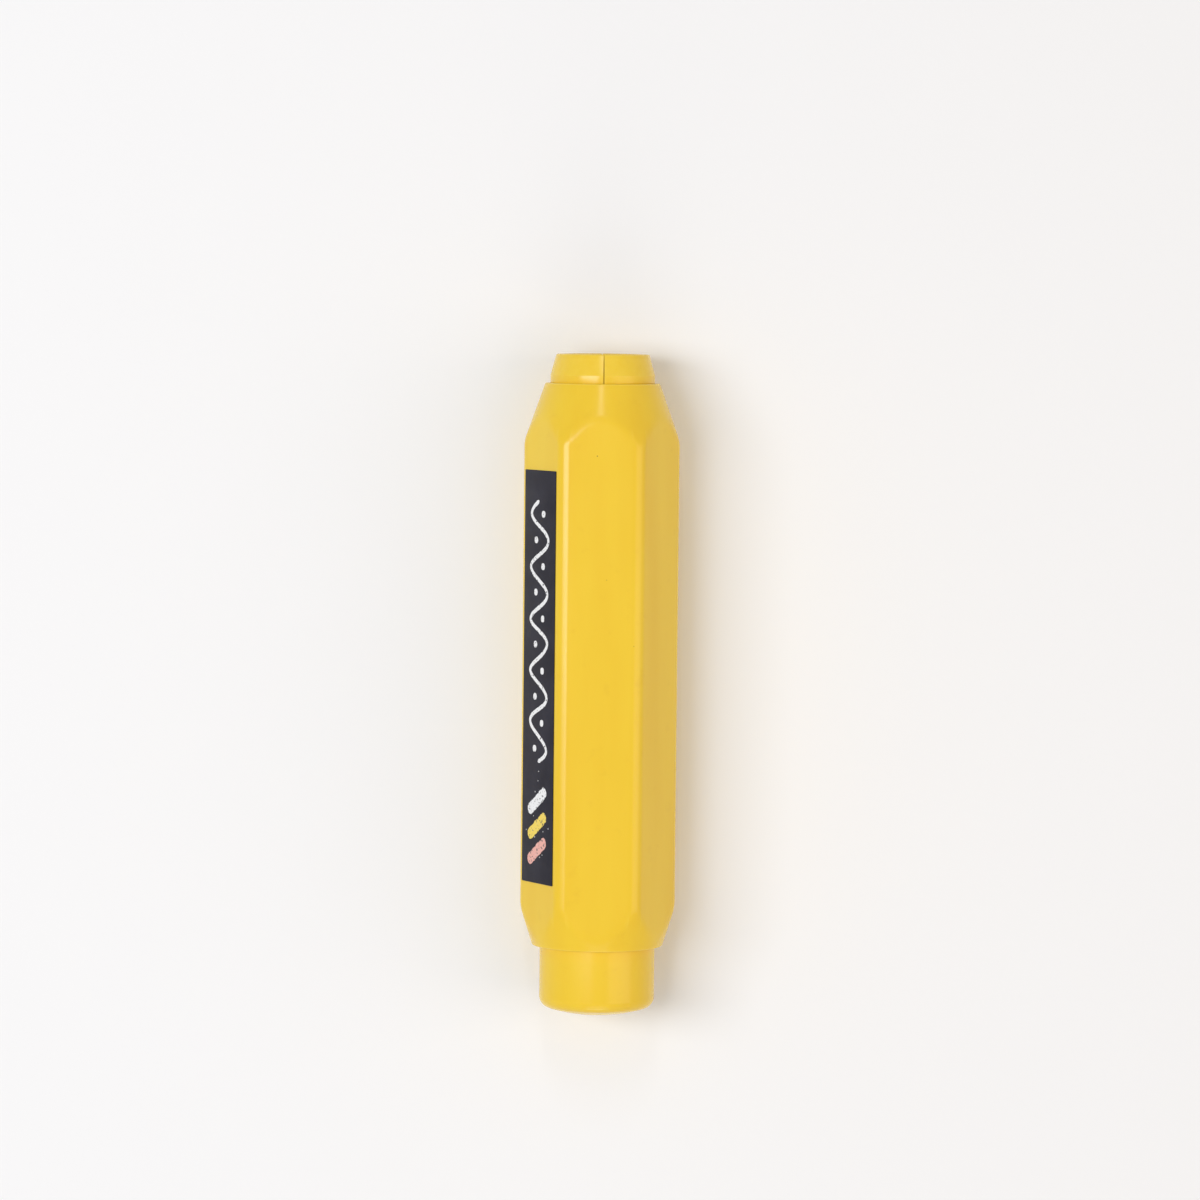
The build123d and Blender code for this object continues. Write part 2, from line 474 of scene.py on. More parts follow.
class ShaderGraph(NodeGraph):
    """A material's node tree with one principled shader, and the sources that feed it."""

    def __init__(self, name: str) -> None:
        """Starts a material with its shader and its object coordinates.

        Args:
            name: the material's name.
        """
        self.material = bpy.data.materials.new(name)
        self.material.use_nodes = True
        super().__init__(self.material.node_tree)
        self.shader = self.add("BsdfPrincipled", {})
        self.add("OutputMaterial", {"Surface": self.shader.outputs["BSDF"]})
        self.place = self.add("TexCoord", {}).outputs["Object"]

    def adjust(self, traits: Traits) -> None:
        """Sets the shader's own sockets."""
        for name, value in traits:
            self.shader.inputs[name].default_value = value

    def feed(self, name: str, source: Socket) -> None:
        """Links a source to one of the shader's sockets."""
        self.tree.links.new(source, self.shader.inputs[name])

    def span(self, source: Socket, levels: Pair, start: float, end: float) -> Socket:
        """Carries a source from between two levels to between two values, and holds it there.

        Args:
            source: what is carried over.
            levels: its low and high level.
            start: the value at the low level and under it.
            end: the value at the high level and over it.

        Returns:
            The carried value.
        """
        low, high = levels
        ranges = {"From Min": low, "From Max": high, "To Min": start, "To Max": end}
        return self.add("MapRange", {"Value": source, **ranges}).outputs["Result"]

    def mottle(self, mottle: Mottle, start: float = 0.0, end: float = 1.0) -> Socket:
        """Noise over the surface.

        Args:
            mottle: the noise and its levels.
            start: the value at the low level.
            end: the value at the high level.

        Returns:
            A value between start and end.
        """
        place = self.place
        if mottle.stretch:
            place = self.add("Mapping", {"Vector": place, "Scale": mottle.stretch}).outputs["Vector"]
        sockets = {"Vector": place, "Scale": mottle.scale, "Detail": mottle.detail}
        return self.span(self.add("TexNoise", sockets).outputs["Fac"], mottle.levels, start, end)

    def mix(self, share: Socket, first: Colour | Socket, second: Colour) -> Socket:
        """Colour between two by a share.

        Args:
            share: how much of the second colour there is.
            first: a plain colour, or a socket that gives one.
            second: a plain colour.

        Returns:
            The mixed colour.
        """
        ground = first if isinstance(first, Socket) else (*first, 1.0)
        sockets = {"Factor": share, "A": ground, "B": (*second, 1.0)}
        return self.add("Mix", sockets, data_type="RGBA").outputs["Result"]

    def edges(self) -> Socket:
        """How sharply the surface bends outwards, as the mesh has it noted on its points."""
        return self.add("Attribute", {}, attribute_name=MeshBench.BEND).outputs["Fac"]

    def grains(self, density: float) -> Socket:
        """Distance from scattered points, in spacings, at so many spacings a metre."""
        return self.add("TexVoronoi", {"Vector": self.place, "Scale": density}).outputs["Distance"]

    def times(self, first: Socket, second: Socket) -> Socket:
        """Product of two sources."""
        return self.add("Math", {0: first, 1: second}, operation="MULTIPLY").outputs[0]

    def bump(self, height: Socket, depth: float) -> Socket:
        """Slope of a surface that is raised by a height of up to that depth."""
        sockets = {"Strength": 1.0, "Distance": depth, "Height": height}
        return self.add("Bump", sockets).outputs["Normal"]


@dataclass(frozen=True)
class Finish:
    """A finish whose colour, sheen and relief each follow a noise.

    Attributes:
        name: the material's name.
        colour: the plain colour.
        tinge: the colour that shows where the tint is high.
        tint: noise of the colour.
        sheen: noise of the roughness.
        gloss: least and greatest roughness.
        skin: noise of the relief.
        skin_depth: depth of the relief.
        traits: the shader's other sockets, each the same all over the surface.
    """

    name: str
    colour: Colour
    tinge: Colour
    tint: Mottle
    sheen: Mottle
    gloss: Pair
    skin: Mottle
    skin_depth: float
    traits: Traits

    def dye(self, graph: ShaderGraph) -> Socket:
        """Colour of the surface."""
        return graph.mix(graph.mottle(self.tint), self.colour, self.tinge)

    def relief(self, graph: ShaderGraph) -> Socket:
        """Height of the surface, as a share of the skin's depth."""
        return graph.mottle(self.skin)

    def material(self) -> Material:
        """Builds the shader.

        Returns:
            The material.
        """
        graph = ShaderGraph(self.name)
        graph.adjust(self.traits)
        graph.feed("Base Color", self.dye(graph))
        graph.feed("Roughness", graph.mottle(self.sheen, *self.gloss))
        graph.feed("Normal", graph.bump(self.relief(graph), self.skin_depth))
        return graph.material


@dataclass(frozen=True)
class MouldedPlastic(Finish):
    """Glossy moulded plastic: flow marks, smudges, rubbed edges, rare dark specks and a fine skin."""

    name: str = "moulded_yellow"
    colour: Colour = (0.868, 0.590, 0.026)
    tinge: Colour = (0.836, 0.540, 0.018)
    tint: Mottle = Mottle(150.0, 4.0, (0.35, 0.7), stretch=(1.0, 0.14, 1.0))
    sheen: Mottle = Mottle(85.0, 5.0, NOISE_SWING)
    gloss: Pair = (0.17, 0.25)
    skin: Mottle = Mottle(1300.0, 2.0)
    skin_depth: float = 0.004 * MM
    traits: Traits = (
        ("IOR", 1.5),
        ("Specular IOR Level", 0.4),
        ("Subsurface Weight", 0.06),
        ("Subsurface Scale", 0.8 * MM),
        ("Subsurface Radius", (1.0, 0.55, 0.12)),
    )
    smudge: Colour = (0.800, 0.510, 0.020)
    smudges: Mottle = Mottle(420.0, 4.0, (0.62, 0.80))
    smudge_share: float = 0.6
    rubbed: Colour = (0.930, 0.680, 0.080)
    rubs: Mottle = Mottle(900.0, 4.0)
    rub_share: float = 0.8
    blunt: float = 3.0 * MM
    keen: float = 0.4 * MM
    speck: Colour = (0.430, 0.250, 0.014)
    speck_density: float = 230.0
    speck_sizes: Pair = (0.016, 0.030)

    def dye(self, graph: ShaderGraph) -> Socket:
        """Lays smudges, rubbed edges and specks over the flow marks.

        Args:
            graph: the material's nodes.

        Returns:
            The colour of the surface.
        """
        colour = super().dye(graph)
        colour = graph.mix(graph.mottle(self.smudges, 0.0, self.smudge_share), colour, self.smudge)
        keenness = graph.span(graph.edges(), (1 / self.blunt, 1 / self.keen), 0.0, self.rub_share)
        colour = graph.mix(graph.times(keenness, graph.mottle(self.rubs)), colour, self.rubbed)
        specks = graph.span(graph.grains(self.speck_density), self.speck_sizes, 1.0, 0.0)
        return graph.mix(specks, colour, self.speck)


@dataclass(frozen=True)
class BlackFilm(Finish):
    """Black printed film under a satin varnish."""

    name: str = "black_film"
    colour: Colour = (0.012, 0.011, 0.020)
    tinge: Colour = (0.022, 0.021, 0.034)
    tint: Mottle = Mottle(220.0, 5.0, (0.4, 0.7))
    sheen: Mottle = Mottle(120.0, 4.0, NOISE_SWING)
    gloss: Pair = (0.30, 0.42)
    skin: Mottle = Mottle(2600.0, 2.0)
    skin_depth: float = 0.003 * MM
    traits: Traits = (("IOR", 1.48), ("Specular IOR Level", 0.12))


@dataclass(frozen=True, kw_only=True)
class ChalkInk(Finish):
    """Printed strokes: chalk of a given tinge, whose broken grain lies on a dark ground."""

    colour: Colour = (0.055, 0.054, 0.058)
    tint: Mottle = Mottle(2600.0, 4.0, (0.34, 0.42))
    sheen: Mottle = Mottle(2600.0, 3.0, NOISE_SWING)
    gloss: Pair = (0.42, 0.58)
    skin: Mottle = tint
    skin_depth: float = 0.004 * MM
    traits: Traits = (("IOR", 1.48),)


@dataclass(frozen=True)
class SpringSteel(Finish):
    """Bright drawn wire with a trace of oil."""

    name: str = "spring_wire"
    colour: Colour = (0.58, 0.58, 0.60)
    tinge: Colour = (0.44, 0.42, 0.39)
    tint: Mottle = Mottle(160.0, 5.0, (0.4, 0.75))
    sheen: Mottle = Mottle(900.0, 3.0, NOISE_SWING)
    gloss: Pair = (0.29, 0.4)
    skin: Mottle = Mottle(2400.0, 2.0, stretch=(1.0, 5.0, 1.0))
    skin_depth: float = 0.003 * MM
    traits: Traits = (("Metallic", 1.0), ("Anisotropic", 0.4))


@dataclass(frozen=True)
class MagnetRubber(Finish):
    """Rubber-bound magnet: dark and matte, with rolled lines along it."""

    name: str = "magnet_rubber"
    colour: Colour = (0.030, 0.027, 0.025)
    tinge: Colour = (0.062, 0.057, 0.052)
    tint: Mottle = Mottle(1900.0, 4.0, (0.45, 0.75))
    sheen: Mottle = Mottle(1600.0, 2.0, NOISE_SWING, stretch=(1.0, 0.02, 1.0))
    gloss: Pair = (0.62, 0.82)
    skin: Mottle = Mottle(1600.0, 2.0, stretch=(1.0, 0.02, 1.0))
    skin_depth: float = 0.03 * MM
    traits: Traits = (("IOR", 1.46),)
    grit: Mottle = Mottle(1900.0, 4.0)

    def relief(self, graph: ShaderGraph) -> Socket:
        """Height of the rolled lines, broken by grit."""
        return graph.times(super().relief(graph), graph.mottle(self.grit))


@dataclass(frozen=True)
class FoamTape(Finish):
    """Pale double-sided tape with an open foam edge."""

    name: str = "foam_tape"
    colour: Colour = (0.74, 0.73, 0.69)
    tinge: Colour = (0.55, 0.54, 0.50)
    tint: Mottle = Mottle(3200.0, 3.0, (0.4, 0.7))
    sheen: Mottle = Mottle(3200.0, 3.0, NOISE_SWING)
    gloss: Pair = (0.7, 0.9)
    skin: Mottle = Mottle(3200.0, 3.0)
    skin_depth: float = 0.02 * MM
    traits: Traits = (("IOR", 1.4),)


def settle(piece: Piece, finish: Material, body: str, slot: Slot, *nodes: str) -> None:
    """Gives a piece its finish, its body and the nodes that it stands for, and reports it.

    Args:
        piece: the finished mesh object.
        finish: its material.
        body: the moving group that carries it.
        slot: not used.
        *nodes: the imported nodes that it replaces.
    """
    MeshBench.note_edges(piece.data)
    piece.data.materials.clear()
    piece.data.materials.append(finish)
    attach(piece, body)
    if nodes:
        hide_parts(*nodes)
    LOG.info("%s: %d faces on %s", piece.name, len(piece.data.polygons), body)


@dataclass
class Barrel:
    """Six-sided shell with conical ends, a stepped bore and a pocket for the magnet strip."""

    datum: Datum
    fits: Fits
    sides: int = 6
    edge_radius: float = 2.2 * MM
    tail_rim: float = 9.7 * MM
    nose_rim_wall: float = 0.6 * MM
    tail_taper: float = math.radians(17.5)
    nose_taper: float = math.radians(19.5)
    cone_blend: float = 0.30 * MM
    rim_round: float = 0.22 * MM
    lip_round: float = 0.06 * MM
    run_up: float = 4 * rim_round
    parting_depth: float = 0.025 * MM
    parting_reach: float = 1e-6
    pocket_play: float = 0.2 * MM
    pocket_corner: float = 0.8 * MM
    pocket_edge: float = 0.05 * MM
    pocket_drop: float = 2.0 * MM
    flat_steps: int = 14
    edge_steps: int = 16
    end_zone: float = 12.0 * MM
    end_rings: int = 48
    body_rings: int = 24
    flat_radius: float = field(init=False)
    length: float = field(init=False)
    nose_rim: float = field(init=False)

    def __post_init__(self) -> None:
        """Reads the barrel's length and its width over flats from the frame."""
        low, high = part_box("barrel")
        self.flat_radius = (high.z - low.z) / 2
        self.length = high.y - low.y
        self.nose_rim = self.fits.mouth + self.nose_rim_wall

    @property
    def sector(self) -> float:
        """Angle from the middle of one facet to the next."""
        return TAU / self.sides

    @property
    def facet_width(self) -> float:
        """Width of the flat part of a facet."""
        return 2 * (self.flat_radius - self.edge_radius) * math.tan(math.pi / self.sides)

    @property
    def flat_end(self) -> float:
        """Angle from the middle of a facet to the end of its flat part."""
        return math.atan2(self.facet_width / 2, self.flat_radius)

    def hexagon(self, angle: float) -> float:
        """Rounded hexagon, whose flats face up and down.

        Args:
            angle: angle round the axis.

        Returns:
            Its radius there.
        """
        half = self.sector / 2
        off_flat = abs((angle - QUARTER + half) % self.sector - half)
        if off_flat <= self.flat_end:
            return self.flat_radius / math.cos(off_flat)
        off_corner = half - off_flat
        centre = (self.flat_radius - self.edge_radius) / math.cos(half)
        across = centre * math.sin(off_corner)
        return centre * math.cos(off_corner) + math.sqrt(self.edge_radius**2 - across**2)

    def soft_min(self, first: float, second: float) -> float:
        """Smaller of two radii, run together where they differ by less than the blend."""
        near = max(self.cone_blend - abs(first - second), 0.0) / self.cone_blend
        return min(first, second) - near**2 * self.cone_blend / 4

    def skin(self, angle: float, station: float) -> float:
        """Outside of the shell, with the mould's parting line at both sides.

        Args:
            angle: angle round the axis.
            station: distance from the tail rim.

        Returns:
            Its radius there.
        """
        tail_cone = self.tail_rim + station * math.tan(self.tail_taper)
        nose_cone = self.nose_rim + (self.length - station) * math.tan(self.nose_taper)
        radius = self.soft_min(self.soft_min(self.hexagon(angle), tail_cone), nose_cone)
        on_parting = abs(math.sin(angle)) <= self.parting_reach
        return radius - self.parting_depth if on_parting else radius

    def angles(self) -> list[float]:
        """Angles round the barrel, close together over the rounded edges.

        Returns:
            The angles in order.
        """
        flat = 2 * self.flat_end
        found = []
        for side in range(self.sides):
            middle = QUARTER + side * self.sector
            found += spread(middle - self.flat_end, flat, self.flat_steps)
            found += spread(middle + self.flat_end, self.sector - flat, self.edge_steps)
        return found

    def outer_stations(self) -> list[float]:
        """Stations of the outer rings, close together over the conical ends.

        Returns:
            The stations from tail to nose.
        """
        zone = self.end_zone
        last = self.length - self.rim_round
        tail = spread(self.rim_round, zone - self.rim_round, self.end_rings)
        body = spread(zone, self.length - 2 * zone, self.body_rings)
        nose = spread(self.length - zone, last - self.length + zone, self.end_rings, closed=True)
        return tail + body + nose

    def turned_outline(self) -> list[Pair]:
        """Rims and bore, from the nose's rim inwards and round to the tail's.

        Returns:
            Points of the outline; its two ends, which lie on the outside, are left off.
        """
        fits = self.fits
        nose_run = self.run_up * math.tan(self.nose_taper)
        tail_run = self.run_up * math.tan(self.tail_taper)
        outline = Outline(
            Corner(self.nose_rim + nose_run, self.length - self.run_up),
            Corner(self.nose_rim, self.length, self.rim_round),
            Corner(fits.mouth, self.length, self.lip_round),
            Corner(fits.guide_bore, self.length - fits.seat_length),
            Corner(fits.guide_bore, fits.shoulder_station),
            Corner(fits.main_bore, fits.shoulder_station),
            Corner(fits.main_bore, fits.stop_station),
            Corner(fits.tail_bore, fits.stop_station),
            Corner(fits.tail_bore, 0.0, self.lip_round),
            Corner(self.tail_rim, 0.0, self.rim_round),
            Corner(self.tail_rim + tail_run, self.run_up),
        )
        return outline.points()[1:-1]

    def pocket(self) -> Piece:
        """Cutter for the magnet's pocket, grown round the strip and as deep as the tape's seat.

        Returns:
            The cutter in place.
        """
        low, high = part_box("magnet_strip")
        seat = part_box("magnet_tape")[1].z
        size = Vector((high.x - low.x, high.y - low.y, seat + self.pocket_drop))
        size.x += 2 * self.pocket_play
        size.y += 2 * self.pocket_play
        cutter = MeshBench.slab("pocket_cutter", size, self.pocket_corner, self.pocket_edge)
        place = ((low.x + high.x) / 2, (low.y + high.y) / 2, -self.pocket_drop)
        cutter.data.transform(Matrix.Translation(place))
        return cutter

    def build(self, finish: Material) -> None:
        """Makes the shell, sinks the magnet's pocket and dresses it.

        Args:
            finish: the plastic.
        """
        point = self.datum.point
        angles = self.angles()
        rings = []
        for station in self.outer_stations():
            rings.append([point(self.skin(angle, station), angle, station) for angle in angles])
        for radius, station in self.turned_outline():
            rings.append([point(radius, angle, station) for angle in angles])
        shell = MeshBench.from_rings("barrel_shell", rings)
        MeshBench.cut(shell, self.pocket())
        settle(shell, finish, Body.BARREL.value, Slot.PLASTIC, "barrel")


@dataclass
class MagnetBacking:
    """Magnet strip in the back facet, and the tape that holds it."""

    strip_corner: float = 0.6 * MM
    strip_edge: float = 0.15 * MM
    tape_corner: float = 0.3 * MM
    tape_edge: float = 0.02 * MM

    def build(self, rubber: Material, foam: Material) -> None:
        """Makes the strip and the tape where the frame has them.

        Args:
            rubber: finish of the strip.
            foam: finish of the tape.
        """
        strip = self.layer("magnet_strip", self.strip_corner, self.strip_edge, faces_down=True)
        settle(strip, rubber, Body.BARREL.value, Slot.MAGNET, "magnet_strip")
        tape = self.layer("magnet_tape", self.tape_corner, self.tape_edge, faces_down=False)
        settle(tape, foam, Body.BARREL.value, Slot.TAPE, "magnet_tape")

    @staticmethod
    def layer(node: str, corner: float, edge: float, faces_down: bool) -> Piece:
        """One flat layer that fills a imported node's box.

        Args:
            node: the node that it stands for.
            corner: radius of its corners.
            edge: radius of the edges round its show face.
            faces_down: whether that face looks down.

        Returns:
            The layer in place.
        """
        low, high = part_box(node)
        layer = MeshBench.slab(f"{node}_layer", high - low, corner, edge)
        centre = (low + high) / 2
        if faces_down:
            place = Matrix.Translation((centre.x, centre.y, high.z)) @ Matrix.Rotation(math.pi, 4, "Y")
        else:
            place = Matrix.Translation((centre.x, centre.y, low.z))
        layer.data.transform(place)
        return layer


class Ink(Enum):
    """Colours of the printed chalk strokes."""

    WHITE = "white"
    YELLOW = "yellow"
    CORAL = "coral"


INK_COLOURS: dict[Ink, Colour] = {
    Ink.WHITE: (0.86, 0.86, 0.87),
    Ink.YELLOW: (0.88, 0.66, 0.10),
    Ink.CORAL: (0.83, 0.42, 0.36),
}


@dataclass(frozen=True)
class Stroke:
    """One printed line on the film."""

    points: tuple[Vector, ...]
    width: float
    ink: Ink


@dataclass(frozen=True)
class Drift:
    """A value that wanders between -1 and 1, read along a straight line through a noise."""

    start: Triple
    step: Triple

    def at(self, number: float) -> float:
        """The value after a number of steps."""
        return noise.noise(Vector([low + number * step for low, step in zip(self.start, self.step)]))


@dataclass
class Label:
    """Black film on the facet left of the front one, with a plain pattern of chalk strokes."""

    datum: Datum
    flat_radius: float
    facet_width: float
    margin: float = 0.05 * MM
    thickness: float = 0.12 * MM
    corner: float = 0.15 * MM
    film_edge: float = 0.03 * MM
    ink: float = 0.012 * MM
    facet_angle: float = math.radians(150)
    ragged_scale: float = 2200.0
    ragged_share: float = 0.2
    ragged_shift: Pair = (7.0, 3.0)
    end_width: float = 0.35
    wave_steps: int = 260
    wave_start: float = -12.5 * MM
    wave_end: float = 26.0 * MM
    wave_swings: int = 5
    wave_reach: float = 2.5 * MM
    wave_line: float = 0.62 * MM
    wave_sway: Drift = Drift((0.0, 0.3, 0.0), (9.0, 0.0, 0.0))
    sway_share: float = 0.4
    wave_swell: Drift = Drift((0.0, 4.1, 0.0), (7.0, 0.0, 0.0))
    swell_share: float = 0.14
    spot_steps: int = 10
    spot_size: float = 1.0 * MM
    spot_drop: float = 0.42
    stick_steps: int = 24
    stick_width: float = 1.7 * MM
    stick_pitch: float = 3.7 * MM
    stick_start: Pair = (-2.7 * MM, -27.4 * MM)
    stick_run: Pair = (5.2 * MM, 3.4 * MM)
    crumbs: int = 16
    crumb_spread: Pair = (5.8 * MM, 12.0 * MM)
    crumb_middle: float = -21.5 * MM
    crumb_size: Pair = (0.14 * MM, 0.10 * MM)
    crumb_across: Drift = Drift((0.0, 0.5, 0.2), (1.73, 0.0, 0.0))
    crumb_along: Drift = Drift((0.9, 0.0, 0.7), (0.0, 2.31, 0.0))
    crumb_growth: Drift = Drift((0.0, 3.0, 1.0), (0.77, 0.0, 0.0))
    length: float = field(init=False)
    middle: float = field(init=False)

    def __post_init__(self) -> None:
        """Reads the film's length and its middle from the frame."""
        low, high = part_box("label_film")
        self.length = high.y - low.y
        self.middle = (low.y + high.y) / 2

    def facet(self) -> Matrix:
        """Frame of the facet: X across it towards the front, Y towards the nose, Z outwards.

        Returns:
            The move from that frame to the shared one.
        """
        outward = Vector((math.cos(self.facet_angle), 0.0, math.sin(self.facet_angle)))
        along = Vector((0.0, 1.0, 0.0))
        across = along.cross(outward)
        origin = outward * self.flat_radius + Vector((0.0, self.middle, self.datum.axis_height))
        return Matrix.Translation(origin) @ Matrix((across, along, outward)).transposed().to_4x4()

    def build(self, film: Material, inks: dict[Ink, Material]) -> None:
        """Lays the film and prints its strokes.

        Args:
            film: finish of the film.
            inks: finish of each ink.
        """
        size = Vector((self.facet_width - 2 * self.margin, self.length, self.thickness))
        sheet = MeshBench.slab("label_sheet", size, self.corner, self.film_edge)
        sheet.data.transform(self.facet())
        settle(sheet, film, Body.BARREL.value, Slot.LABEL, "label_film")
        for name, strokes in self.pattern().items():
            self.print_strokes(name, strokes, inks[strokes[0].ink])

    def pattern(self) -> dict[str, list[Stroke]]:
        """All the printed strokes, by the name of the piece that carries them."""
        upper = {"label_wave": [self.wave()], "label_spots": self.spots()}
        return {**upper, **self.sticks(), "label_dust": self.dust()}

    def along_wave(self, share: float) -> float:
        """Place along the film at a share of the wave's length."""
        return self.wave_start + (self.wave_end - self.wave_start) * share

    def wave(self) -> Stroke:
        """One line that swings from side to side along the upper part of the film, drawn by hand.

        Returns:
            The line.
        """
        points = []
        for share in spread(0.0, 1.0, self.wave_steps, closed=True):
            sway = self.sway_share * self.wave_sway.at(share)
            swell = 1 + self.swell_share * self.wave_swell.at(share)
            across = self.wave_reach * swell * math.sin(TAU * self.wave_swings * share + sway)
            points.append(Vector((across, self.along_wave(share))))
        return Stroke(tuple(points), self.wave_line, Ink.WHITE)

    def spots(self) -> list[Stroke]:
        """One round spot in each hollow of the wave.

        Returns:
            The spots in order along the film.
        """
        found = []
        hollows = 2 * self.wave_swings
        for number in range(hollows):
            side = -1 if number % 2 == 0 else 1
            along = self.along_wave((number + 0.5) / hollows)
            across = side * self.spot_drop * self.wave_reach
            found.append(self.spot(Vector((across, along)), self.spot_size))
        return found

    def spot(self, centre: Vector, size: float) -> Stroke:
        """A white spot, as a stroke as long as it is wide.

        Args:
            centre: its middle.
            size: its length and width.

        Returns:
            The stroke.
        """
        start = centre - Vector((0.0, size / 2))
        offsets = spread(0.0, size, self.spot_steps, closed=True)
        points = tuple(start + Vector((0.0, offset)) for offset in offsets)
        return Stroke(points, size, Ink.WHITE)

    def sticks(self) -> dict[str, list[Stroke]]:
        """Three short sticks of chalk laid side by side at the tail end of the film.

        Returns:
            The stroke of each stick, by the name of its piece.
        """
        found = {}
        shares = spread(0.0, 1.0, self.stick_steps, closed=True)
        for number, ink in enumerate((Ink.CORAL, Ink.YELLOW, Ink.WHITE)):
            low = Vector(self.stick_start) + Vector((0.0, self.stick_pitch * number))
            high = low + Vector(self.stick_run)
            points = tuple(low.lerp(high, share) for share in shares)
            found[f"label_stick_{ink.value}"] = [Stroke(points, self.stick_width, ink)]
        return found

    def dust(self) -> list[Stroke]:
        """Crumbs of chalk about the sticks.

        Returns:
            One spot for each crumb.
        """
        wide, long = self.crumb_spread
        least, more = self.crumb_size
        found = []
        for number in range(self.crumbs):
            across = wide * self.crumb_across.at(number)
            along = self.crumb_middle + long * self.crumb_along.at(number)
            size = least + more * abs(self.crumb_growth.at(number))
            found.append(self.spot(Vector((across, along)), size))
        return found

    def print_strokes(self, name: str, strokes: Sequence[Stroke], ink: Material) -> None:
        """Prints ribbons along lines on the film.

        Args:
            name: name of the printed piece.
            strokes: the lines, in the facet's own X and Y.
            ink: finish of the ribbons.
        """
        bench = bmesh.new()
        for stroke in strokes:
            self.ribbon(bench, stroke)
        mesh = bpy.data.meshes.new(name)
        bench.to_mesh(mesh)
        bench.free()
        mesh.transform(self.facet())
        settle(MeshBench.finished(name, mesh), ink, Body.BARREL.value, Slot.LABEL)

    def ribbon(self, bench: bmesh.types.BMesh, stroke: Stroke) -> None:
        """Adds one closed ribbon with round ends and a slightly ragged edge.

        Args:
            bench: the mesh that it joins.
            stroke: the line that it follows.
        """
        bottom = self.thickness - self.ink / 2
        top = self.thickness + self.ink
        line = stroke.points
        half = stroke.width / 2
        shift_along, shift_up = self.ragged_shift
        rings = []
        for index, here in enumerate(line):
            ahead = line[min(index + 1, len(line) - 1)]
            behind = line[max(index - 1, 0)]
            along = (ahead - behind).normalized()
            side = Vector((along.y, -along.x))
            to_end = min((here - line[0]).length, (line[-1] - here).length)
            share = min(to_end / half, 1.0)
            narrow = self.end_width + (1 - self.end_width) * math.sqrt(1 - (1 - share) ** 2)
            place = here * self.ragged_scale
            ring = []
            for sign, height in ((1, bottom), (1, top), (-1, top), (-1, bottom)):
                ragged = noise.noise(Vector((place.x + sign * shift_along, place.y, sign * shift_up)))
                edge = here + side * sign * half * narrow * (1 + self.ragged_share * ragged)
                ring.append(bench.verts.new((edge.x, edge.y, height)))
            rings.append(ring)
        for first, second in zip(rings, rings[1:]):
            for corner in range(len(first)):
                after = (corner + 1) % len(first)
                bench.faces.new((first[corner], first[after], second[after], second[corner]))
        bench.faces.new(rings[0])
        bench.faces.new(rings[-1])


